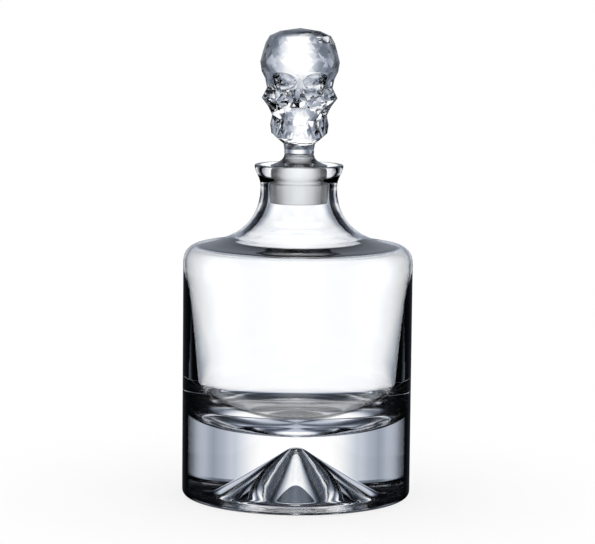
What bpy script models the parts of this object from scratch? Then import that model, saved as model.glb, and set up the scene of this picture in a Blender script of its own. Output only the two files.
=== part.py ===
"""Liquor decanter: a thick glass bottle and a stopper with a faceted skull finial.

The bottle is one blown and pressed glass body: a round tank with a heavy base, a cone-shaped
punt under it, a flat shoulder, a short neck and a flared lip. The stopper is a glass foot with a
peg, a soft sleeve that grips the peg and seals the neck, and a cast glass skull bonded on top.
All lengths are in metres, +Z is up, and the origin is the centre of the ring the bottle stands on.
"""

import math

import bmesh
import bpy
from mathutils import Matrix, Vector

# Bottle, outside
body_radius = 0.0640
heel_radius = 0.0025
side_height = 0.1318
shoulder_edge_radius = 0.0090
shoulder_slope = math.radians(5.0)
neck_height = 0.0538
neck_radius = 0.0212
neck_waist_depth = 0.0126
neck_pull = 0.0187
shoulder_pull = 0.0224
lip_radius = 0.02475
lip_width = 0.00315
lip_edge_radius = 0.0007
lip_top_pull = 0.0035
lip_waist_pull = 0.0055
lip_height = side_height + neck_height
neck_waist_height = lip_height - neck_waist_depth
mouth_radius = lip_radius - lip_width

# Bottle, the punt under the base
punt_height = 0.0302
punt_mouth_radius = 0.0330
punt_tip_radius = 0.0080
punt_edge_radius = 0.0012

# Bottle, the hollow
floor_over_punt = 0.0067
floor_dish_radius = 0.1850
floor_corner_radius = 0.0290
wall_at_foot = 0.0076
wall_at_top = 0.0016
wall_lean = math.radians(5.2)
wall_foot_pull = 0.0350
wall_top_pull = 0.0080
wall_top_depth = 0.0058
ceiling_slope = math.radians(3.4)
ceiling_length = 0.0110
shoulder_wall = 0.0016
hollow_edge_radius = 0.0074
hollow_shoulder_pull = 0.0140
hollow_neck_pull = 0.0125
neck_bore_radius = 0.0170
bore_foot_depth = 0.0181
bore_top_depth = 0.0086
mouth_pull = 0.0040
floor_height = punt_height + floor_over_punt
wall_top_height = side_height - wall_top_depth
bore_foot_height = lip_height - bore_foot_depth
bore_top_height = lip_height - bore_top_depth

# Stopper sleeve
seal_clearance = 0.0003
seal_taper = 0.0006
seal_length = 0.0111
sleeve_step = 0.0010
sleeve_step_length = 0.0016
sleeve_neck_length = 0.0077
sleeve_sink = 0.0013
sleeve_edge_radius = 0.0005
sleeve_floor = 0.0021
sleeve_wall = 0.0034
seal_radius = neck_bore_radius - seal_clearance
sleeve_foot_radius = seal_radius - seal_taper
sleeve_top_radius = seal_radius - sleeve_step
sleeve_bore = sleeve_top_radius - sleeve_wall
sleeve_top_height = lip_height - sleeve_sink
sleeve_step_height = sleeve_top_height - sleeve_neck_length
sleeve_seal_height = sleeve_step_height - sleeve_step_length
sleeve_foot_height = sleeve_seal_height - seal_length

# Stopper foot
assembly_gap = 0.0003
foot_rise = 0.0071
foot_overhang = 0.0002
foot_top_radius = 0.00825
foot_edge_thickness = 0.0006
foot_waist_pull = 0.0036
foot_edge_pull = 0.0040
foot_edge_slope = math.radians(18.0)
peg_corner_radius = 0.0010
foot_edge_radius = sleeve_top_radius + foot_overhang
foot_top_height = sleeve_top_height + foot_rise

# Skull finial
collar_height = 0.0026
collar_sink = 0.0030
skull_height = 0.0668
skull_half_width = 0.0221
skull_front = 0.0260
skull_back = 0.0280
skull_roundness = 2.25
skull_ring_points = 20

# Height, width, front, back, place of the widest point (towards the back) and rise at the back of each
# ring of the skull, as shares of its height, half width, front, back, front and height.
skull_ring_shares = (
    (0.000, 0.376, 0.320, 0.296, 0.00, 0.000),
    (0.040, 0.395, 0.520, 0.300, 0.00, 0.000),
    (0.090, 0.530, 0.800, 0.310, -0.10, 0.030),
    (0.145, 0.675, 0.925, 0.320, -0.20, 0.050),
    (0.215, 0.680, 0.935, 0.345, -0.20, 0.055),
    (0.289, 0.680, 0.890, 0.400, -0.15, 0.045),
    (0.364, 0.795, 0.860, 0.560, -0.25, 0.035),
    (0.437, 0.945, 0.845, 0.760, -0.35, 0.025),
    (0.512, 0.835, 0.830, 0.900, -0.10, 0.010),
    (0.580, 0.890, 0.870, 0.970, 0.05, 0.000),
    (0.645, 0.970, 0.975, 1.000, 0.10, -0.010),
    (0.720, 1.000, 0.975, 1.000, 0.15, -0.010),
    (0.800, 0.940, 0.865, 0.930, 0.15, -0.010),
    (0.875, 0.870, 0.690, 0.780, 0.15, 0.000),
    (0.935, 0.770, 0.480, 0.560, 0.12, 0.000),
    (0.975, 0.500, 0.270, 0.340, 0.10, 0.000),
)
skull_ripple_share = 0.010
skull_ripple_waves = 5
skull_crown_shares = (0.0, 0.04, 1.0)

# Swells and dents on both sides of the skull: direction from the face as a share of half a turn,
# height, spread in each of those, and how far the surface moves as a share of its own reach.
skull_swell_shares = (
    (0.170, 0.645, 0.120, 0.035, 0.040),
    (0.370, 0.550, 0.110, 0.050, -0.130),
    (0.290, 0.437, 0.085, 0.035, 0.090),
    (0.320, 0.325, 0.110, 0.050, -0.140),
    (0.600, 0.190, 0.110, 0.080, 0.120),
    (0.850, 0.170, 0.140, 0.110, -0.200),
)

# Centre and half size of each hollow and boss, as shares of the skull's half width, front and height.
eye_socket_shares = ((0.435, -0.840, 0.572), (0.360, 0.360, 0.076))
jaw_slot_shares = ((0.400, -0.820, 0.205), (0.065, 0.300, 0.080))
upper_jaw_shares = ((0.0, -0.600, 0.270), (0.340, 0.370, 0.110))
nose_opening_shares = ((0.0, -0.900, 0.436), (0.290, 0.230, 0.160))
nose_bridge_shares = ((0.0, -0.770, 0.575), (0.130, 0.170, 0.130))
nose_opening_top_share = 0.40
nose_bridge_top_share = 0.55
upper_jaw_top_share = 0.80
nose_sides = 8

# Steps along and around
turn_steps = 60
peg_steps = 48
quarter_steps = 5
curve_steps = 8
screw_merge = 0.00001

glass_colour = (0.96, 0.98, 0.99, 1.0)
glass_refraction = 1.5
bottle_glass_roughness = 0.0
stopper_glass_roughness = 0.02
sleeve_colour = (0.90, 0.92, 0.94, 1.0)
sleeve_roughness = 0.45
sleeve_clearness = 0.6


def clear_scene():
    """Remove every object so that the script always starts from nothing."""
    for obj in list(bpy.data.objects):
        bpy.data.objects.remove(obj, do_unlink=True)


def new_collection(name):
    """Return a fresh collection linked to the scene."""
    collection = bpy.data.collections.new(name)
    bpy.context.scene.collection.children.link(collection)
    return collection


def glass_material(name, roughness):
    """Clear, colourless, polished soda-lime or crystal glass."""
    material = bpy.data.materials.new(name)
    material.use_nodes = True
    shader = material.node_tree.nodes["Principled BSDF"]
    shader.inputs["Base Color"].default_value = glass_colour
    shader.inputs["Roughness"].default_value = roughness
    shader.inputs["Metallic"].default_value = 0.0
    shader.inputs["IOR"].default_value = glass_refraction
    shader.inputs["Transmission Weight"].default_value = 1.0
    return material


def sleeve_material(name):
    """Milky translucent polymer of the stopper's seal."""
    material = bpy.data.materials.new(name)
    material.use_nodes = True
    shader = material.node_tree.nodes["Principled BSDF"]
    shader.inputs["Base Color"].default_value = sleeve_colour
    shader.inputs["Roughness"].default_value = sleeve_roughness
    shader.inputs["Metallic"].default_value = 0.0
    shader.inputs["Transmission Weight"].default_value = sleeve_clearness
    return material


def spaced(start, end, steps):
    """Evenly spaced values from start to end, both included."""
    return [start + (end - start) * i / steps for i in range(steps + 1)]


def arc(centre, radius, start, end, steps):
    """Points on a circle in the (r, z) plane, between two angles in degrees."""
    angles = [math.radians(a) for a in spaced(start, end, steps)]
    return [(centre[0] + radius * math.cos(a), centre[1] + radius * math.sin(a)) for a in angles]


def curve(start, start_handle, end_handle, end, steps):
    """Points on a cubic curve in the (r, z) plane."""
    points = []
    for t in spaced(0.0, 1.0, steps):
        weights = ((1 - t) ** 3, 3 * t * (1 - t) ** 2, 3 * t * t * (1 - t), t ** 3)
        controls = (start, start_handle, end_handle, end)
        points.append(tuple(sum(w * c[k] for w, c in zip(weights, controls)) for k in (0, 1)))
    return points


def fillet(before, corner, after, radius, steps):
    """Round the corner between two straight runs of a profile."""
    here = Vector(corner)
    back = (Vector(before) - here).normalized()
    ahead = (Vector(after) - here).normalized()
    half_angle = back.angle(ahead) / 2
    centre = here + (back + ahead).normalized() * radius / math.sin(half_angle)
    first = here + back * radius / math.tan(half_angle) - centre
    last = here + ahead * radius / math.tan(half_angle) - centre
    points = []
    for t in spaced(0.0, 1.0, steps):
        spoke = first.slerp(last, t)
        points.append(tuple(centre + spoke.normalized() * radius))
    return points


def without_repeats(points):
    """Drop points that follow one at the same place."""
    kept = [points[0]]
    for point in points[1:]:
        if math.dist(point, kept[-1]) > screw_merge:
            kept.append(point)
    return kept


def turned(name, profile, collection, material, steps):
    """Turn a profile, listed down its outer side, about the Z axis."""
    points = without_repeats(profile)
    mesh = bpy.data.meshes.new(name)
    edges = [(i, i + 1) for i in range(len(points) - 1)]
    mesh.from_pydata([(r, 0.0, z) for r, z in points], edges, [])
    obj = bpy.data.objects.new(name, mesh)
    collection.objects.link(obj)
    mesh.materials.append(material)
    screw = obj.modifiers.new("turn", "SCREW")
    screw.axis = "Z"
    screw.steps = steps
    screw.render_steps = steps
    screw.use_merge_vertices = True
    screw.merge_threshold = screw_merge
    screw.use_smooth_shade = True
    return obj


def rounded_top(centre, edge_radius, slope):
    """Where a rounded edge about a centre meets a roof that rises inwards at a slope."""
    return (centre[0] + edge_radius * math.sin(slope), centre[1] + edge_radius * math.cos(slope))


def up_slope(point, distance, slope):
    """A point further up a slope, towards the neck."""
    return (point[0] - distance * math.cos(slope), point[1] + distance * math.sin(slope))


def shoulder_edge():
    """Centre of the bottle's rounded shoulder edge."""
    return (body_radius - shoulder_edge_radius, side_height)


def hollow_profile():
    """Inner surface, from the middle of the dished floor up to the lip."""
    foot_r = body_radius - wall_at_foot
    top_r = body_radius - wall_at_top
    corner_r = foot_r - floor_corner_radius * math.cos(wall_lean)
    dish_z = floor_height + floor_dish_radius
    reach = floor_dish_radius - floor_corner_radius
    corner_z = dish_z - math.sqrt(reach ** 2 - corner_r ** 2)
    meet = math.degrees(math.atan2(corner_z - dish_z, corner_r))
    lean = math.degrees(wall_lean)
    floor = arc((0.0, dish_z), floor_dish_radius, -90.0, meet, quarter_steps)
    corner = arc((corner_r, corner_z), floor_corner_radius, meet, -lean, quarter_steps + 2)
    side_foot = corner[-1]
    side_top = (top_r, wall_top_height)
    run = wall_foot_pull * math.sin(wall_lean)
    rise = wall_foot_pull * math.cos(wall_lean)
    side = curve(
        side_foot,
        (side_foot[0] + run, side_foot[1] + rise),
        (side_top[0], side_top[1] - wall_top_pull),
        side_top,
        curve_steps,
    )
    edge_r = top_r - hollow_edge_radius
    ceiling_r = edge_r + hollow_edge_radius * math.sin(ceiling_slope)
    roof = rounded_top(shoulder_edge(), shoulder_edge_radius, shoulder_slope)
    ceiling_z = roof[1] - (ceiling_r - roof[0]) * math.tan(shoulder_slope) - shoulder_wall
    edge = (edge_r, ceiling_z - hollow_edge_radius * math.cos(ceiling_slope))
    upper = arc(edge, hollow_edge_radius, 0.0, 90.0 - math.degrees(ceiling_slope), quarter_steps)
    ceiling = (ceiling_r, ceiling_z)
    throat_foot = up_slope(ceiling, ceiling_length, ceiling_slope)
    throat = curve(
        throat_foot,
        up_slope(throat_foot, hollow_shoulder_pull, ceiling_slope),
        (neck_bore_radius, bore_foot_height - hollow_neck_pull),
        (neck_bore_radius, bore_foot_height),
        curve_steps,
    )
    mouth_foot = (neck_bore_radius, bore_top_height)
    mouth_top = (mouth_radius, lip_height - lip_edge_radius)
    mouth = curve(
        mouth_foot,
        (mouth_foot[0], mouth_foot[1] + mouth_pull),
        (mouth_top[0] - lip_edge_radius, mouth_top[1] - mouth_pull / 2),
        mouth_top,
        quarter_steps,
    )
    return floor + corner + side + upper + throat + mouth


def lip_profile():
    """Top of the lip, from the mouth's edge to the outer edge."""
    rim_z = lip_height - lip_edge_radius
    inner = arc((mouth_radius + lip_edge_radius, rim_z), lip_edge_radius, 180.0, 90.0, 3)
    outer = arc((lip_radius - lip_edge_radius, rim_z), lip_edge_radius, 90.0, 0.0, 3)
    return inner + outer


def outer_profile():
    """Outer surface, from under the lip down to the heel."""
    lip = (lip_radius, lip_height - lip_edge_radius)
    waist = (neck_radius, neck_waist_height)
    flare = curve(
        lip,
        (lip[0], lip[1] - lip_top_pull),
        (waist[0], waist[1] + lip_waist_pull),
        waist,
        curve_steps - 2,
    )
    shoulder = rounded_top(shoulder_edge(), shoulder_edge_radius, shoulder_slope)
    throat = curve(
        waist,
        (waist[0], waist[1] - neck_pull),
        up_slope(shoulder, shoulder_pull, shoulder_slope),
        shoulder,
        curve_steps + 3,
    )
    slope = math.degrees(shoulder_slope)
    edge = arc(shoulder_edge(), shoulder_edge_radius, 90.0 - slope, 0.0, quarter_steps + 1)
    heel = arc((body_radius - heel_radius, heel_radius), heel_radius, 0.0, -90.0, quarter_steps - 1)
    return flare + throat + edge + heel


def punt_profile():
    """Cone under the base, from its mouth up to the rounded tip."""
    mouth = Vector((punt_mouth_radius, 0.0))
    tip_centre = Vector((0.0, punt_height - punt_tip_radius))
    to_tip = tip_centre - mouth
    lean = math.atan2(to_tip[1], -to_tip[0]) + math.asin(punt_tip_radius / to_tip.length)
    touch = 90.0 - math.degrees(lean)
    tip = arc(tip_centre, punt_tip_radius, touch, 90.0, quarter_steps)
    base = (body_radius - heel_radius, 0.0)
    edge = fillet(base, tuple(mouth), tip[0], punt_edge_radius, 3)
    return edge + tip


def make_bottle(collection, material):
    """One glass body, hollow above and open at the mouth."""
    profile = hollow_profile() + lip_profile() + outer_profile() + punt_profile()
    profile[0] = (0.0, floor_height)
    profile[-1] = (0.0, punt_height)
    return turned("bottle", profile, collection, material, turn_steps)


def make_sleeve(collection, material):
    """Cup-shaped seal: a slim collar, a step out to the sealing band, and a slight taper below."""
    inner_floor = sleeve_foot_height + sleeve_floor
    top_edge = (sleeve_top_radius - sleeve_edge_radius, sleeve_top_height - sleeve_edge_radius)
    foot_edge = (sleeve_foot_radius - sleeve_edge_radius, sleeve_foot_height + sleeve_edge_radius)
    profile = [(0.0, inner_floor), (sleeve_bore, inner_floor), (sleeve_bore, sleeve_top_height)]
    profile += arc(top_edge, sleeve_edge_radius, 90.0, 0.0, 3)
    profile += [(sleeve_top_radius, sleeve_step_height), (seal_radius, sleeve_seal_height)]
    profile += arc(foot_edge, sleeve_edge_radius, 0.0, -90.0, 3)
    profile += [(0.0, sleeve_foot_height)]
    return turned("stopper_sleeve", profile, collection, material, turn_steps)


def make_foot(collection, material):
    """Flared glass foot that covers the sleeve, with the peg that the sleeve grips."""
    underside = sleeve_top_height + assembly_gap
    edge_top = (foot_edge_radius, underside + foot_edge_thickness)
    peg_radius = sleeve_bore - assembly_gap
    peg_foot = sleeve_foot_height + sleeve_floor + assembly_gap
    waist = (foot_top_radius, foot_top_height)
    edge_run = foot_edge_pull * math.cos(foot_edge_slope)
    edge_rise = foot_edge_pull * math.sin(foot_edge_slope)
    profile = [(0.0, foot_top_height)]
    profile += curve(
        waist,
        (waist[0], waist[1] - foot_waist_pull),
        (edge_top[0] - edge_run, edge_top[1] + edge_rise),
        edge_top,
        curve_steps,
    )
    profile += [(foot_edge_radius, underside), (peg_radius, underside)]
    corner = (peg_radius - peg_corner_radius, peg_foot + peg_corner_radius)
    profile += arc(corner, peg_corner_radius, 0.0, -90.0, 3)
    profile += [(0.0, peg_foot)]
    return turned("stopper_foot", profile, collection, material, peg_steps)


def skull_base():
    """Height at which the skull rises out of its collar."""
    return foot_top_height + assembly_gap + collar_height


def skull_place(shares):
    """Turn shares of half width, front and height into a place on the finial."""
    height = skull_base() + shares[2] * skull_height
    return Vector((shares[0] * skull_half_width, shares[1] * skull_front, height))


def skull_size(shares):
    """Turn shares of half width, front and height into half sizes."""
    return Vector((shares[0] * skull_half_width, shares[1] * skull_front, shares[2] * skull_height))


def skull_swell(direction, height):
    """How much further out the skull's surface lies, at a direction from the face and a height."""
    total = 1.0
    for centre, level, spread, rise, amount in skull_swell_shares:
        off = ((direction - centre) / spread) ** 2 + ((height - level) / rise) ** 2
        total += amount * math.exp(-off)
    return total


def skull_ring(shares, stagger):
    """Points of one ring of the skull: a rounded oval that is deeper at the back, with its swells."""
    height, width, front, back, waist, rise = shares
    waist_y = waist * skull_front
    points = []
    for i in range(skull_ring_points):
        angle = 2 * math.pi * (i + stagger) / skull_ring_points - math.pi / 2
        across = math.cos(angle)
        along = math.sin(angle)
        reach = (abs(across) ** skull_roundness + abs(along) ** skull_roundness) ** (-1 / skull_roundness)
        heading = math.acos(-along)
        reach *= skull_swell(heading / math.pi, height)
        depth = skull_front * front + waist_y if along < 0 else skull_back * back - waist_y
        x = across * reach * skull_half_width * width
        y = waist_y + along * reach * depth
        ripple = skull_ripple_share * math.cos(skull_ripple_waves * heading) * math.sin(math.pi * height)
        lift = height + rise * y / skull_back + ripple
        points.append(Vector((x, y, skull_base() + skull_height * lift)))
    return points


def make_skull_cage(collection, material):
    """Loft the skull through rings that are turned by half a step each, which cuts it into facets."""
    mesh = bpy.data.meshes.new("skull_finial")
    bm = bmesh.new()
    rings = []
    for level, shares in enumerate(skull_ring_shares):
        stagger = ((level + 1) % 2) / 2
        rings.append([bm.verts.new(point) for point in skull_ring(shares, stagger)])
    for level in range(len(rings) - 1):
        bridge_rings(bm, rings[level], rings[level + 1], (level + 1) % 2)
    crown = bm.verts.new(skull_place(skull_crown_shares))
    top = rings[-1]
    for i, vert in enumerate(top):
        bm.faces.new((vert, top[(i + 1) % skull_ring_points], crown))
    bm.faces.new(list(reversed(rings[0])))
    bm.to_mesh(mesh)
    bm.free()
    obj = bpy.data.objects.new("skull_finial", mesh)
    collection.objects.link(obj)
    mesh.materials.append(material)
    return obj


def bridge_rings(bm, lower, upper, lower_is_staggered):
    """Join two staggered rings by triangles that point up and down in turn."""
    count = skull_ring_points
    for i in range(count):
        j = (i + 1) % count
        if lower_is_staggered:
            bm.faces.new((lower[i], upper[j], upper[i]))
            bm.faces.new((lower[i], lower[j], upper[j]))
        else:
            bm.faces.new((lower[i], lower[j], upper[i]))
            bm.faces.new((lower[j], upper[j], upper[i]))


def tool_object(name, mesh, tools):
    """Put a cutter or a boss in the tools' collection, shown as wire and left out of the part."""
    obj = bpy.data.objects.new(name, mesh)
    tools.objects.link(obj)
    obj.hide_render = True
    obj.display_type = "WIRE"
    return obj


def ball_tool(name, shares, side, detail, tools):
    """An egg-shaped tool at a place on the skull, on one side or the other."""
    place = skull_place(shares[0])
    place.x *= side
    mesh = bpy.data.meshes.new(name)
    bm = bmesh.new()
    size = skull_size(shares[1])
    shape = Matrix.Translation(place) @ Matrix.Diagonal((size.x, size.y, size.z, 1.0))
    bmesh.ops.create_icosphere(bm, subdivisions=detail, radius=1.0, matrix=shape)
    bm.to_mesh(mesh)
    bm.free()
    return tool_object(name, mesh, tools)


def cone_tool(name, shares, top_share, tools):
    """A blunt upright cone at a place on the skull's middle plane."""
    mesh = bpy.data.meshes.new(name)
    bm = bmesh.new()
    size = skull_size(shares[1])
    shape = Matrix.Translation(skull_place(shares[0])) @ Matrix.Diagonal((size.x, size.y, size.z, 1.0))
    bmesh.ops.create_cone(
        bm,
        cap_ends=True,
        segments=nose_sides,
        radius1=1.0,
        radius2=top_share,
        depth=1.0,
        matrix=shape,
    )
    bm.to_mesh(mesh)
    bm.free()
    return tool_object(name, mesh, tools)


def apply_tool(obj, tool, operation):
    """Add an exact Boolean with one tool."""
    modifier = obj.modifiers.new(tool.name, "BOOLEAN")
    modifier.operation = operation
    modifier.solver = "EXACT"
    modifier.object = tool


def collar_tool(tools):
    """Short round stem that is bonded to the stopper's foot."""
    mesh = bpy.data.meshes.new("collar")
    bm = bmesh.new()
    seat = foot_top_height + assembly_gap
    length = collar_height + collar_sink
    bmesh.ops.create_cone(
        bm,
        cap_ends=True,
        segments=peg_steps,
        radius1=foot_top_radius,
        radius2=foot_top_radius,
        depth=length,
        matrix=Matrix.Translation((0.0, 0.0, seat + length / 2)),
    )
    bm.to_mesh(mesh)
    bm.free()
    return tool_object("collar", mesh, tools)


def make_skull(collection, tools, material):
    """Faceted head with upper jaw and nose bridge added, and sockets, nose and jaw slots cut in."""
    skull = make_skull_cage(collection, material)
    sides = ((1, "left"), (-1, "right"))
    apply_tool(skull, cone_tool("upper_jaw", upper_jaw_shares, upper_jaw_top_share, tools), "UNION")
    apply_tool(skull, cone_tool("nose_bridge", nose_bridge_shares, nose_bridge_top_share, tools), "UNION")
    apply_tool(skull, collar_tool(tools), "UNION")
    for side, label in sides:
        apply_tool(skull, ball_tool("eye_socket_" + label, eye_socket_shares, side, 3, tools), "DIFFERENCE")
        apply_tool(skull, ball_tool("jaw_slot_" + label, jaw_slot_shares, side, 1, tools), "DIFFERENCE")
    nose = cone_tool("nose_opening", nose_opening_shares, nose_opening_top_share, tools)
    apply_tool(skull, nose, "DIFFERENCE")
    return skull


def main():
    """Build the decanter."""
    clear_scene()
    parts = new_collection("liquor_decanter")
    tools = new_collection("cutters")
    bottle_glass = glass_material("bottle_glass", bottle_glass_roughness)
    stopper_glass = glass_material("stopper_glass", stopper_glass_roughness)
    make_bottle(parts, bottle_glass)
    make_sleeve(parts, sleeve_material("sleeve_polymer"))
    make_foot(parts, stopper_glass)
    make_skull(parts, tools, stopper_glass)


main()
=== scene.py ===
# %% [markdown]
# # A glass decanter with a skull stopper
#
# The decanter is one thick glass body: a round tank, a heavy base over a cone-shaped punt, a flat
# shoulder and a flared lip. Its stopper is a glass foot in a milky seal, with a cast glass skull on top.
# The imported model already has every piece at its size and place, so this lesson makes the fine
# surfaces, the glass and the light.

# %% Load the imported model
import math

import bmesh
import bpy
from mathutils import Matrix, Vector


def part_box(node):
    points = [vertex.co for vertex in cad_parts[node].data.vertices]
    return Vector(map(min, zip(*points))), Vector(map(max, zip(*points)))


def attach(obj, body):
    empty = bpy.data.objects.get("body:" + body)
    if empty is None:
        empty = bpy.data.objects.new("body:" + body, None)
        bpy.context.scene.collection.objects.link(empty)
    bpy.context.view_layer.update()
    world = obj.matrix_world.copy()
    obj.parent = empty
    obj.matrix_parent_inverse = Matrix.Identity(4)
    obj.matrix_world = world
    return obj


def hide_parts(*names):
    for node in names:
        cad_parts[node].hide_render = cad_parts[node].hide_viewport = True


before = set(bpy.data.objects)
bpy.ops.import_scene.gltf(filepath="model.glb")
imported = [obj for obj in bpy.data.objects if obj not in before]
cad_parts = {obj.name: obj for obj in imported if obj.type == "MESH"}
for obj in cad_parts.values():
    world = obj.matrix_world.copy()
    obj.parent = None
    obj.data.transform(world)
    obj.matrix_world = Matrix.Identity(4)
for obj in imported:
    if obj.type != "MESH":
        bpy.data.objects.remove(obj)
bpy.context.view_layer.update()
bpy.ops.object.select_all(action="DESELECT")

# %% [markdown]
# ## Turned glass
#
# A blown and pressed bottle is a turned shape, so one line tells all about it: half of its section. The
# CAD bottle is that line turned in 60 steps, which is too coarse for glass, because light that passes
# four surfaces shows every flat. The line could be drawn again point by point. It is cut out of the
# CAD body with the bisect tool instead, so that it can't differ from it, and then it is smoothed.

# %% Cut the half section out of a CAD node
merge_distance = 0.000001


def new_piece(name, mesh):
    """A new object with its own mesh, alone selected and active."""
    piece = bpy.data.objects.new(name, mesh)
    bpy.context.scene.collection.objects.link(piece)
    bpy.ops.object.select_all(action="DESELECT")
    piece.select_set(True)
    bpy.context.view_layer.objects.active = piece
    return piece


def select_in_edit(piece, kind, wanted):
    """Select the vertices, edges or faces of the piece in edit mode that a test wants."""
    shape = bmesh.from_edit_mesh(piece.data)
    for element in [*shape.faces, *shape.edges, *shape.verts]:
        element.select = False
    chosen = [element for element in getattr(shape, kind) if wanted(element)]
    for element in chosen:
        element.select_set(True)
    shape.select_flush_mode()
    bmesh.update_edit_mesh(piece.data)
    return len(chosen)


def half_section(name, cad_name):
    """The line that a turned CAD node is made from, in the plane y = 0, on the side of +X."""
    piece = new_piece(name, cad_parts[cad_name].data.copy())
    bpy.ops.object.mode_set(mode="EDIT")
    bpy.ops.mesh.select_mode(type="VERT")
    bpy.ops.mesh.select_all(action="SELECT")
    bpy.ops.mesh.remove_doubles(threshold=merge_distance)
    bpy.ops.mesh.select_all(action="SELECT")
    bpy.ops.mesh.bisect(
        plane_co=(0, 0, 0),
        plane_no=(0, 1, 0),
        clear_inner=True,
        clear_outer=True,
        threshold=merge_distance,
    )
    if select_in_edit(piece, "verts", lambda vert: vert.co.x < -merge_distance):
        bpy.ops.mesh.delete(type="VERT")
    return piece


# %% [markdown]
# The section has long straight edges and short curved ones. The long ones are cut up first, because
# Subdivision Surface rounds each corner over the length of the edges beside it: with short edges the
# curves turn smooth and the corners stay tight. Spin then turns the line into a closed glass surface.

# %% Smooth the section and turn it
smoothing_level = 1
cm3_in_m3 = 1000000


def cut_long_edges(piece, longest):
    """Halve the edges until none is longer than the given length."""
    while select_in_edit(piece, "edges", lambda edge: edge.calc_length() > longest):
        bpy.ops.mesh.subdivide(number_cuts=1)


def turn_section(piece, around):
    """Smooth the section, spin it about the Z axis, close it and turn its faces outwards."""
    bpy.ops.object.mode_set(mode="OBJECT")
    smooth = piece.modifiers.new("smooth_line", "SUBSURF")
    smooth.levels = smoothing_level
    smooth.render_levels = smoothing_level
    bpy.ops.object.modifier_apply(modifier=smooth.name)
    line_points = len(piece.data.vertices)
    bpy.ops.object.mode_set(mode="EDIT")
    bpy.ops.mesh.select_all(action="SELECT")
    bpy.ops.mesh.spin(steps=around, angle=2 * math.pi, center=(0, 0, 0), axis=(0, 0, 1))
    bpy.ops.mesh.select_all(action="SELECT")
    bpy.ops.mesh.remove_doubles(threshold=merge_distance)
    bpy.ops.mesh.normals_make_consistent(inside=False)
    bpy.ops.object.mode_set(mode="OBJECT")
    bpy.ops.object.shade_smooth()
    return line_points


def report_shape(piece, cad_name):
    """Print the piece's open edges, volume and top, with the top of its CAD node beside it."""
    shape = bmesh.new()
    shape.from_mesh(piece.data)
    open_edges = sum(1 for edge in shape.edges if not edge.is_manifold)
    volume = shape.calc_volume(signed=True) * cm3_in_m3
    shape.free()
    cad_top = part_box(cad_name)[1].z
    top = max(vert.co.z for vert in piece.data.vertices)
    print(piece.name, "faces", len(piece.data.polygons), "open edges", open_edges,
          "volume cm3", round(volume, 2), "top", round(top, 5), "CAD top", round(cad_top, 5))


# %% [markdown]
# Fire polishing leaves no sharp corner in blown glass. Two places of the bottle's line are made softer
# than in the CAD body for that reason: the punt gets a rounder foot and a finer tip, and the mouth
# opens in step with the outside of the lip, so that its wall thins only slowly and stays clear.

# %% Soften the punt and the mouth
tip_radius = 0.0045
punt_radius = 0.0330
punt_foot_radius = 0.0085
punt_longest_edge = 0.0014
# The inside of the mouth, as heights with their radii.
mouth_line = (
    (0.1770, 0.0170), (0.1782, 0.01835), (0.1797, 0.01955),
    (0.1815, 0.02045), (0.1832, 0.0211), (0.1849, 0.0216),
)


def between(stops, value):
    """Read a table of (value, result) stops in between its stops."""
    for (low, first), (high, second) in zip(stops, stops[1:]):
        if value <= high:
            return first + (second - first) * max(value - low, 0.0) / (high - low)
    return stops[-1][1]


def punt_rise(radius, apex):
    """The height of the punt over a point at this radius: round tip, straight flank, round foot."""
    centre = apex - tip_radius
    lean = math.atan2(centre, punt_radius) + math.asin(tip_radius / math.hypot(centre, punt_radius))
    foot_reach = punt_foot_radius * math.tan(lean / 2)
    if radius < tip_radius * math.sin(lean):
        return centre + math.sqrt(tip_radius**2 - radius**2)
    if radius < punt_radius - foot_reach * math.cos(lean):
        return (punt_radius - radius) * math.tan(lean)
    if radius < punt_radius + foot_reach:
        return punt_foot_radius - math.sqrt(punt_foot_radius**2 - (punt_radius + foot_reach - radius) ** 2)
    return 0.0


def soften_bottle(piece):
    """Move the points of the section on the punt and in the mouth to their softer lines."""
    shape = bmesh.from_edit_mesh(piece.data)
    apex = min(vert.co.z for vert in shape.verts if vert.co.x < merge_distance)
    print("punt apex", round(apex, 5))
    reach = punt_radius + punt_foot_radius

    def in_punt(vert):
        return vert.co.x < reach and vert.co.z < apex + merge_distance

    def long_in_punt(edge):
        return all(in_punt(vert) for vert in edge.verts) and edge.calc_length() > punt_longest_edge

    while select_in_edit(piece, "edges", long_in_punt):
        bpy.ops.mesh.subdivide(number_cuts=1)
    shape = bmesh.from_edit_mesh(piece.data)
    for vert in shape.verts:
        if in_punt(vert):
            vert.co.z = punt_rise(vert.co.x, apex)
        elif mouth_line[0][0] < vert.co.z < mouth_line[-1][0] and vert.co.x < mouth_line[-1][1]:
            vert.co.x = between(mouth_line, vert.co.z)
    bmesh.update_edit_mesh(piece.data)


# %% [markdown]
# The bottle, the seal and the stopper's foot are turned alike. They differ in the longest edge that is
# left in their line and in the steps round. Shorter edges and more steps look smoother, but a piece has
# to stay under 200,000 triangles, and the large bottle comes near to that. Each piece then rides on the
# body of its CAD node and takes the node's place.

# %% Make the bottle, the seal and the stopper's foot
bottle_longest_edge = 0.0028
seal_longest_edge = 0.0006
foot_longest_edge = 0.0009
bottle_steps = 180
stopper_steps = 160


def turned_piece(name, cad_name, body, longest, around, soften=None):
    """Make a smooth turned piece from a CAD node and let it ride on the node's body."""
    piece = half_section(name, cad_name)
    cut_long_edges(piece, longest)
    if soften:
        soften(piece)
    line_points = turn_section(piece, around)
    piece.data.materials.clear()
    report_shape(piece, cad_name)
    print(name, "section points", line_points)
    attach(piece, body)
    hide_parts(cad_name)
    return piece


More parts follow.
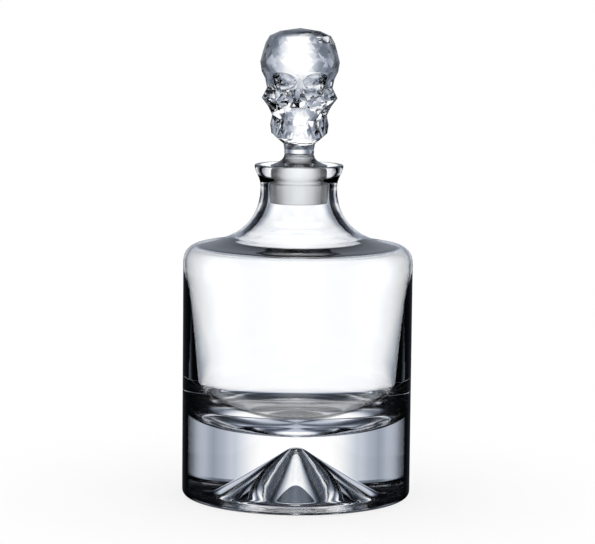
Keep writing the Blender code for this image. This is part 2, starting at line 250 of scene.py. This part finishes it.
bottle = turned_piece(
    "clear_bottle", "bottle", "bottle", bottle_longest_edge, bottle_steps, soften_bottle
)
seal = turned_piece(
    "milky_seal", "stopper_sleeve", "sleeve", seal_longest_edge, stopper_steps
)
foot = turned_piece(
    "clear_foot", "stopper_foot", "stopper", foot_longest_edge, stopper_steps
)

# %% [markdown]
# ## The skull
#
# The skull is cast in a mould and then fire-polished: its facets are flat, but the edges between them are
# a little round and catch thin lines of light. The CAD skull has the facets already. The rounding could
# be part of it, but it is so narrow that it hardly shows except in how the light falls. So a copy of the
# CAD skull is merged into one shell, its flat faces are joined, and a narrow bevel rounds the edges. The
# eye sockets are many small faces, which are shaded smooth.

# %% Round the skull's edges
edge_round = 0.00016
edge_segments = 2
edge_angle = math.radians(9)
flat_angle = math.radians(0.6)

skull = new_piece("faceted_skull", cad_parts["skull_finial"].data.copy())
bpy.ops.object.mode_set(mode="EDIT")
bpy.ops.mesh.select_all(action="SELECT")
bpy.ops.mesh.remove_doubles(threshold=merge_distance)
bpy.ops.mesh.dissolve_limited(angle_limit=flat_angle)
bpy.ops.object.mode_set(mode="OBJECT")
rounding = skull.modifiers.new("edge_round", "BEVEL")
rounding.width = edge_round
rounding.segments = edge_segments
rounding.limit_method = "ANGLE"
rounding.angle_limit = edge_angle
bpy.ops.object.modifier_apply(modifier=rounding.name)
bpy.ops.object.shade_smooth_by_angle(angle=edge_angle)
skull.data.materials.clear()
report_shape(skull, "skull_finial")
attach(skull, "stopper")
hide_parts("skull_finial")

# %% [markdown]
# ## Clear glass
#
# Clear glass has almost no colour of its own: what shows is the white behind it and the dark at its
# edges, where the light is turned away. A glass is one shader with other nodes in front of its inputs, so
# a few helpers add a node, feed its inputs, and start a node group or a material.

# %% Helpers for nodes
def feed(tree, socket, value):
    """Feed an input: an output is linked to it, and a number or a colour is set in it."""
    if isinstance(value, bpy.types.NodeSocket):
        tree.links.new(value, socket)
    else:
        socket.default_value = value


def add_node(tree, kind, inputs=None, **settings):
    """Add a node with its settings, feed its inputs, given by name or number, and return it."""
    made = tree.nodes.new(kind)
    for setting, value in settings.items():
        setattr(made, setting, value)
    for label, value in (inputs or {}).items():
        feed(tree, made.inputs[label], value)
    return made


def math_node(tree, operation, *values):
    """Add a Math node with sockets or numbers as its inputs and return its output."""
    return add_node(tree, "ShaderNodeMath", dict(enumerate(values)), operation=operation).outputs[0]


def vector_node(tree, operation, *values):
    """Add a Vector Math node with sockets or vectors as its inputs and return it."""
    return add_node(tree, "ShaderNodeVectorMath", dict(enumerate(values)), operation=operation)


def new_group(name, inputs, outputs):
    """A shader node group with number inputs by name and value, and outputs by name and kind."""
    group = bpy.data.node_groups.new(name, "ShaderNodeTree")
    for label, value in inputs.items():
        socket = group.interface.new_socket(label, in_out="INPUT", socket_type="NodeSocketFloat")
        socket.default_value = value
    for label, kind in outputs.items():
        group.interface.new_socket(label, in_out="OUTPUT", socket_type=kind)
    return group, add_node(group, "NodeGroupInput").outputs, add_node(group, "NodeGroupOutput").inputs


def new_material(name):
    """A material with its node tree and the Principled shader in it."""
    material = bpy.data.materials.new(name)
    material.use_nodes = True
    return material, material.node_tree, material.node_tree.nodes["Principled BSDF"]


# %% [markdown]
# The surface of the glass isn't perfect. Blown glass ripples a little, the ring that it stands on is
# scuffed, and in each large facet of cast glass there are smaller flats that lean a little. All this could
# be modelled, but it is too shallow to change the outline, so a bump bends the light instead. The effects
# go into one node group, which each glass fills with its own values. The small flats are cells of a
# Voronoi texture: each cell's height rises in a direction of its own, so it leans as one flat.

# %% A node group for the glass surface
ripple_detail = 1.0
mark_scale = 160.0
mark_detail = 5.0
mark_contrast = 2.0
middle_colour = (0.5, 0.5, 0.5)
# With a distance of 1, the heights that go into the bump are in metres.
bump_distance = 1.0


def glass_surface_group():
    """Ripples of blown glass, small leaning flats, fine polishing marks and a scuffed foot."""
    group, taken, given = new_group(
        "glass_surface",
        {
            "Ripple Scale": 20.0,
            "Ripple Height": 0.0001,
            "Flat Scale": 80.0,
            "Flat Lean": 0.0,
            "Mark Roughness": 0.012,
            "Scuff Top": 0.0,
            "Scuff Roughness": 0.0,
        },
        {"Roughness": "NodeSocketFloat", "Normal": "NodeSocketVector"},
    )
    place = add_node(group, "ShaderNodeTexCoord").outputs["Object"]
    ripple = add_node(
        group,
        "ShaderNodeTexNoise",
        {"Vector": place, "Scale": taken["Ripple Scale"], "Detail": ripple_detail},
    )
    rippled = math_node(group, "MULTIPLY", ripple.outputs["Fac"], taken["Ripple Height"])
    flats = add_node(group, "ShaderNodeTexVoronoi", {"Vector": place, "Scale": taken["Flat Scale"]})
    offset = vector_node(group, "SUBTRACT", place, flats.outputs["Position"])
    uphill = vector_node(group, "SUBTRACT", flats.outputs["Color"], middle_colour)
    climb = vector_node(group, "DOT_PRODUCT", offset.outputs[0], uphill.outputs[0])
    leaning = math_node(group, "MULTIPLY", climb.outputs["Value"], taken["Flat Lean"])
    height = math_node(group, "ADD", leaning, rippled)
    bump = add_node(
        group, "ShaderNodeBump", {"Strength": 1.0, "Distance": bump_distance, "Height": height}
    )
    feed(group, given["Normal"], bump.outputs["Normal"])
    marks = add_node(
        group, "ShaderNodeTexNoise", {"Vector": place, "Scale": mark_scale, "Detail": mark_detail}
    ).outputs["Fac"]
    speckle = math_node(group, "POWER", marks, mark_contrast)
    mark = math_node(group, "MULTIPLY", speckle, taken["Mark Roughness"])
    level = add_node(group, "ShaderNodeSeparateXYZ", {0: place}).outputs["Z"]
    below = math_node(group, "LESS_THAN", level, taken["Scuff Top"])
    scuff = math_node(group, "MULTIPLY", below, taken["Scuff Roughness"])
    worn = math_node(group, "MULTIPLY", scuff, marks)
    feed(group, given["Roughness"], math_node(group, "ADD", mark, worn))
    return group


glass_surface = glass_surface_group()
print("group", glass_surface.name)

# %% [markdown]
# Thick glass is dark where its surface turns away from the look, because such a look runs a long way
# through it and ends beside the bright panel. The heavy base and the skull's crown are the thick parts. A
# volume that takes up light could darken them, but it would darken the middle of the base as well. So a
# second group paints that shade into the glass's colour by the angle of the look: painted edge shade. A
# height limits it to a part: with a fade above zero it works below that height, and with a fade under zero
# above it.

# %% A node group for painted edge shade
clear_tint = (0.982, 0.991, 1.0)


def painted_edge_shade_group():
    """A colour with painted shade where the surface turns away from the look, on one side of a height."""
    group, taken, given = new_group(
        "painted_edge_shade",
        {"Facing": 0.0, "Start": 0.40, "Full": 0.70, "Darkest": 0.0, "Top": 1.0, "Fade": 0.01},
        {"Color": "NodeSocketColor"},
    )
    turned = add_node(
        group,
        "ShaderNodeMapRange",
        {"Value": taken["Facing"], "From Min": taken["Start"], "From Max": taken["Full"]},
        interpolation_type="SMOOTHSTEP",
    )
    place = add_node(group, "ShaderNodeTexCoord").outputs["Object"]
    under = add_node(
        group,
        "ShaderNodeMapRange",
        {
            "Value": add_node(group, "ShaderNodeSeparateXYZ", {0: place}).outputs["Z"],
            "From Min": taken["Top"],
            "From Max": math_node(group, "ADD", taken["Top"], taken["Fade"]),
            "To Min": 1.0,
            "To Max": 0.0,
        },
    )
    # The darkening below is painted shade laid over the glass's own faint tint.
    amount = math_node(group, "MULTIPLY", turned.outputs["Result"], under.outputs["Result"])
    loss = math_node(group, "MULTIPLY", amount, math_node(group, "SUBTRACT", 1.0, taken["Darkest"]))
    left = math_node(group, "SUBTRACT", 1.0, loss)
    shade = add_node(group, "ShaderNodeVectorMath", {0: clear_tint, "Scale": left}, operation="SCALE")
    feed(group, given["Color"], shade.outputs[0])
    return group


painted_edge_shade = painted_edge_shade_group()
print("group", painted_edge_shade.name)

# %% [markdown]
# The bottle, the stopper's foot and the skull are the same clear glass, made in three ways. The blown
# bottle has long, low ripples and a scuffed standing ring. The turned foot has finer ripples, and the
# cast skull has these and the leaning flats. Each material gives the two groups only the values that
# differ from the ones that the group starts with.

# %% The glasses
glass_ior = 1.5


def glass_material(name, surface, edges):
    """Clear polished glass, with its values for the surface group and for the group of painted edge shade.
    """
    material, tree, shader = new_material(name)
    shader.inputs["IOR"].default_value = glass_ior
    shader.inputs["Transmission Weight"].default_value = 1.0
    skin = add_node(tree, "ShaderNodeGroup", surface, node_tree=glass_surface)
    facing = add_node(tree, "ShaderNodeLayerWeight").outputs["Facing"]
    # Painted shade: the edge group darkens the glass's colour where its surface turns away from the look.
    painted_shade = add_node(tree, "ShaderNodeGroup", {"Facing": facing, **edges}, node_tree=painted_edge_shade)
    feed(tree, shader.inputs["Roughness"], skin.outputs["Roughness"])
    feed(tree, shader.inputs["Normal"], skin.outputs["Normal"])
    feed(tree, shader.inputs["Base Color"], painted_shade.outputs["Color"])
    return material


# Painted edge shade goes on the bottle's base below 52 mm, on all of the foot, and on the skull's crown
# above 240 mm.
blown_glass = glass_material(
    "blown_glass",
    {"Ripple Scale": 28.0, "Ripple Height": 0.00002, "Scuff Top": 0.0003, "Scuff Roughness": 0.30},
    {"Top": 0.052},
)
turned_glass = glass_material(
    "turned_glass",
    {"Ripple Scale": 110.0, "Ripple Height": 0.00005},
    {"Darkest": 0.6},
)
cast_glass = glass_material(
    "cast_glass",
    {"Ripple Scale": 110.0, "Ripple Height": 0.00004, "Flat Lean": 0.22},
    {"Start": 0.38, "Full": 0.68, "Darkest": 0.05, "Top": 0.240, "Fade": -0.006},
)
bottle.data.materials.append(blown_glass)
foot.data.materials.append(turned_glass)
skull.data.materials.append(cast_glass)
print("glass on", bottle.name, foot.name, skull.name)

# %% [markdown]
# ## The milky seal
#
# The seal is a soft, translucent polymer. Some light goes through it and is spread on the way, and the
# rest comes back from it as from milk. Scattering below the surface would give both. Here one shader
# that is half a rough glass and half a pale matt surface does, with far fewer values to set. The moulded
# surface is satin, with a faint cloudiness. Its sides are painted darker by the angle of the look: painted
# shade.

# %% Milky polymer
polymer_ior = 1.42
polymer_transmission = 0.5
polymer_edge_shade = {"Start": 0.0, "Full": 0.45, "Darkest": 0.08}
cloud_scale = 120.0
cloud_detail = 3.0
satin_roughness = (0.18, 0.30)


def milky_polymer():
    """Translucent polymer: half rough glass, half matt, with a cloudy satin skin and painted shade at its
    sides.
    """
    material, tree, shader = new_material("milky_polymer")
    shader.inputs["IOR"].default_value = polymer_ior
    shader.inputs["Transmission Weight"].default_value = polymer_transmission
    place = add_node(tree, "ShaderNodeTexCoord").outputs["Object"]
    cloud = add_node(
        tree, "ShaderNodeTexNoise", {"Vector": place, "Scale": cloud_scale, "Detail": cloud_detail}
    )
    satin = add_node(
        tree,
        "ShaderNodeMapRange",
        {"Value": cloud.outputs["Fac"], "To Min": satin_roughness[0], "To Max": satin_roughness[1]},
    )
    facing = add_node(tree, "ShaderNodeLayerWeight").outputs["Facing"]
    # Painted shade: the edge group darkens the seal's colour at its sides.
    painted_shade = add_node(
        tree, "ShaderNodeGroup", {"Facing": facing, **polymer_edge_shade}, node_tree=painted_edge_shade
    )
    feed(tree, shader.inputs["Roughness"], satin.outputs["Result"])
    feed(tree, shader.inputs["Base Color"], painted_shade.outputs["Color"])
    return material


seal.data.materials.append(milky_polymer())
print("polymer on", seal.name)

# %% [markdown]
# ## Bright field light
#
# Clear glass is lit from behind. Where a straight look through it ends on the white backdrop, it is
# white; where its surface turns the look aside or mirrors it, it shows the dark studio, and that draws its
# edges. Panels could be built round the decanter, but then every look would find the same ones. The
# world can tell the looks apart by their path. One that only passed through glass finds the bright panel,
# which falls off to the sides and upwards. One that was both let in and mirrored finds narrower panels,
# low ones and a soft light overhead, or one broad panel after more than two surfaces. One that was only
# mirrored finds a dim panel and a soft light overhead, in a dark room. The panels repeat on all four
# sides, so that the decanter is lit alike from each of them, and a weaker one stands at each corner.

# %% The panels
# Each panel is two rows of stops: brightness by degrees to the side, and by degrees of rise.
passed_lights = (
    (
        ((0, 1.18), (10, 1.14), (16, 0.75), (22, 0.32), (28, 0.20), (34, 0.20), (40, 0.45), (45, 0.55)),
        ((-90, 0.05), (-50, 0.07), (-44, 0.8), (-38, 1.0), (-8, 1.0), (0, 0.9), (8, 0.6), (14, 0.65),
         (28, 0.5), (45, 0.2), (60, 0.05), (90, 0.0)),
    ),
    (
        ((0, 0.0), (10, 0.0), (16, 0.2), (24, 0.35), (30, 0.25), (37, 0.1), (45, 0.0)),
        ((-90, 0.0), (-16, 0.0), (-14, 1.0), (-8, 1.0), (-6, 0.0), (90, 0.0)),
    ),
)
inner_lights = (
    (
        ((0, 1.0), (12, 1.0), (20, 0.6), (25, 0.1), (30, 0.0), (45, 0.0)),
        ((-90, 0.0), (-65, 0.1), (-55, 0.6), (-36, 0.6), (-30, 0.3), (-24, 0.1), (-17, 0.4), (-12, 0.9),
         (-6, 1.3), (-1, 1.1), (4, 0.6), (8, 0.0), (90, 0.0)),
    ),
    (
        ((0, 1.0), (9, 1.0), (14, 0.2), (20, 0.0), (45, 0.0)),
        ((-90, 0.0), (4, 0.0), (10, 0.3), (22, 0.7), (34, 0.6), (40, 0.0), (90, 0.0)),
    ),
    (
        ((0, 1.0), (20, 0.9), (30, 0.5), (45, 0.15)),
        ((-90, 0.4), (-66, 0.45), (-60, 0.25), (-54, 0.0), (90, 0.0)),
    ),
    (
        ((0, 1.0), (20, 0.8), (30, 0.3), (45, 0.05)),
        ((-90, 0.0), (-62, 0.2), (-52, 0.6), (-42, 0.5), (-34, 0.15), (-28, 0.0), (90, 0.0)),
    ),
    (
        ((0, 1.0), (45, 1.0)),
        ((-90, 0.0), (52, 0.0), (62, 0.5), (74, 1.4), (90, 1.6)),
    ),
)
deep_lights = (
    (
        ((0, 1.0), (12, 0.95), (24, 0.5), (34, 0.1), (45, 0.0)),
        ((-90, 1.0), (-60, 1.0), (-40, 1.2), (15, 1.3), (20, 0.5), (32, 0.1), (60, 0.05), (90, 0.05)),
    ),
)
outer_lights = (
    (
        ((0, 1.0), (16, 1.0), (30, 0.3), (45, 0.1)),
        ((-90, 0.0), (-14, 0.0), (-12, 0.05), (-4, 0.05), (-1, 0.35), (8, 0.45), (24, 0.5), (35, 0.4),
         (42, 0.0), (90, 0.0)),
    ),
    (
        ((0, 1.0), (45, 1.0)),
        ((-90, 0.0), (40, 0.0), (60, 0.6), (90, 0.8)),
    ),
)
print("panels", [len(lights) for lights in (passed_lights, inner_lights, deep_lights, outer_lights)])

# %% [markdown]
# A Color Ramp turns degrees into the brightness of a panel. Its stops run from 0 to 1, so a Map Range
# node squeezes the degrees into that first. One ramp goes round, the other goes up, and their product is
# the panel. Two more helpers mix numbers and colours, which is how one of two lights is picked.

# %% Helpers for the light
half_way = 0.5


def stepped_ramp(tree, value, stops):
    """A Color Ramp whose stops are given as (value, brightness)."""
    first, last = stops[0][0], stops[-1][0]
    spread = add_node(
        tree, "ShaderNodeMapRange", {"Value": value, "From Min": first, "From Max": last}
    )
    ramp = add_node(tree, "ShaderNodeValToRGB", {"Fac": spread.outputs["Result"]})
    elements = ramp.color_ramp.elements
    while len(elements) < len(stops):
        elements.new(half_way)
    for element, (at, bright) in zip(elements, stops):
        element.position = (at - first) / (last - first)
        element.color = (bright, bright, bright, 1.0)
    return ramp.outputs["Color"]


def summed(tree, turn, rise, lights):
    """The brightness of some panels, each given by its turn to the side and by its rise."""
    total = 0.0
    for by_turn, by_rise in lights:
        sideways = stepped_ramp(tree, turn, by_turn)
        upwards = stepped_ramp(tree, rise, by_rise)
        total = math_node(tree, "ADD", total, math_node(tree, "MULTIPLY", sideways, upwards))
    return total


def pick(tree, factor, when_zero, when_one):
    """Mix two numbers by a factor. The inputs go by number, because their names repeat."""
    return add_node(
        tree, "ShaderNodeMix", {0: factor, 2: when_zero, 3: when_one}, data_type="FLOAT"
    ).outputs[0]


def blend(tree, factor, when_zero, when_one):
    """Mix two colours by a factor, with the inputs by number again."""
    return add_node(
        tree, "ShaderNodeMix", {0: factor, 6: when_zero, 7: when_one}, data_type="RGBA"
    ).outputs[2]


# %% [markdown]
# The world's nodes turn the look's direction into degrees to the side, folded into one eighth of the round,
# and degrees of rise. The light path tells how often the look was mirrored and how many surfaces it
# crossed, and that picks the panels. A matt surface finds the same light all round, and the camera itself
# sees plain white. Dim light is a little blue, as in the photographed glass.

# %% The world
degrees = 180.0 / math.pi
matt_light = 2.5
dim_tint = (0.80, 0.95, 1.25, 1.0)
white = (1.0, 1.0, 1.0, 1.0)


def bright_field():
    """A world that shows each look the light for its path."""
    world = bpy.data.worlds.new("bright_field")
    world.use_nodes = True
    tree = world.node_tree
    looking = add_node(tree, "ShaderNodeTexCoord").outputs["Generated"]
    direction = add_node(tree, "ShaderNodeSeparateXYZ", {0: looking}).outputs
    across = math_node(tree, "ABSOLUTE", direction["X"])
    along = math_node(tree, "ABSOLUTE", direction["Y"])
    nearer = math_node(tree, "MAXIMUM", across, along)
    farther = math_node(tree, "MINIMUM", across, along)
    turn = math_node(tree, "MULTIPLY", math_node(tree, "ARCTAN2", farther, nearer), degrees)
    rise = math_node(tree, "MULTIPLY", math_node(tree, "ARCSINE", direction["Z"]), degrees)
    passed, inner, deep, outer = (
        summed(tree, turn, rise, lights)
        for lights in (passed_lights, inner_lights, deep_lights, outer_lights)
    )
    path = add_node(tree, "ShaderNodeLightPath").outputs

    def more_than(count, kind):
        """Whether the path has more than a whole number of one kind of step."""
        return math_node(tree, "GREATER_THAN", path[kind], count + half_way)

    within = pick(tree, more_than(2, "Transmission Depth"), inner, deep)
    mirrored = pick(tree, more_than(0, "Transmission Depth"), outer, within)
    polished = pick(tree, more_than(0, "Glossy Depth"), passed, mirrored)
    seen = pick(tree, more_than(0, "Diffuse Depth"), polished, matt_light)
    tint = blend(tree, seen, dim_tint, white)
    background = tree.nodes["Background"].inputs
    feed(tree, background["Strength"], pick(tree, path["Is Camera Ray"], seen, 1.0))
    feed(tree, background["Color"], blend(tree, path["Is Camera Ray"], tint, white))
    return world


bpy.context.scene.world = bright_field()
print("world", bpy.context.scene.world.name)

# %% [markdown]
# ## Floor
#
# The decanter stands on a white table that runs on into the backdrop. For the camera the floor is white,
# darkened only by the soft shadow of the glass. A share of it is matt and takes the shadow, and that share
# fades out with the distance from the decanter. Its grey is one over the matt light, so it is as white as
# the rest where nothing shades it. Looks that come through the glass pass the floor and find the bright
# field, which is what they would see on a lit table.

# %% The floor
floor_half = 8.0
floor_drop = 0.0002
shadow_share = 0.30
shadow_near = 0.070
shadow_far = 0.240
matt_grey = 1.0 / matt_light


def white_table():
    """White for the camera, with a matt share round the decanter, and clear for other looks."""
    material = bpy.data.materials.new("white_table")
    material.use_nodes = True
    tree = material.node_tree
    tree.nodes.clear()
    lit = add_node(tree, "ShaderNodeEmission", {"Color": white})
    matt = add_node(tree, "ShaderNodeBsdfDiffuse", {"Color": (matt_grey, matt_grey, matt_grey, 1.0)})
    place = add_node(tree, "ShaderNodeTexCoord").outputs["Object"]
    fade = add_node(
        tree,
        "ShaderNodeMapRange",
        {
            "Value": vector_node(tree, "LENGTH", place).outputs["Value"],
            "From Min": shadow_near,
            "From Max": shadow_far,
            "To Min": shadow_share,
            "To Max": 0.0,
        },
        interpolation_type="SMOOTHSTEP",
    )
    table = add_node(
        tree, "ShaderNodeMixShader", {0: fade.outputs["Result"], 1: lit.outputs[0], 2: matt.outputs[0]}
    )
    clear = add_node(tree, "ShaderNodeBsdfTransparent")
    camera_look = add_node(tree, "ShaderNodeLightPath").outputs["Is Camera Ray"]
    choice = add_node(
        tree, "ShaderNodeMixShader", {0: camera_look, 1: clear.outputs[0], 2: table.outputs[0]}
    )
    add_node(tree, "ShaderNodeOutputMaterial", {"Surface": choice.outputs[0]})
    return material


bpy.ops.mesh.primitive_plane_add(size=2 * floor_half, location=(0, 0, -floor_drop))
floor = bpy.context.object
floor.name = "white_table"
bpy.ops.object.transform_apply(location=True, rotation=False, scale=False)
floor.data.materials.append(white_table())
print("floor", floor.name)

# %% [markdown]
# ## Camera
#
# The picture is taken from a metre and a half away, a little above the decanter, with a long lens that
# looks slightly down. The decanter leans by about half a degree in the frame, so the camera is rolled
# by that. The camera was fitted to the rims, the base ring and the widths measured in the picture.

# %% The camera
camera_away = 1.5
camera_high = 0.30499
camera_aside = -0.00023
look_down = 0.1192
camera_roll = 0.0103
lens = 163.7
sensor_width = 36.0

camera = bpy.data.objects.new("camera", bpy.data.cameras.new("camera"))
bpy.context.scene.collection.objects.link(camera)
camera.data.lens = lens
camera.data.sensor_width = sensor_width
tilt = Matrix.Rotation(math.radians(90) - look_down, 4, "X") @ Matrix.Rotation(camera_roll, 4, "Z")
camera.matrix_world = Matrix.Translation((camera_aside, -camera_away, camera_high)) @ tilt
bpy.context.scene.camera = camera
bpy.context.scene.view_settings.view_transform = "Standard"
print("camera at", tuple(camera.matrix_world.translation))
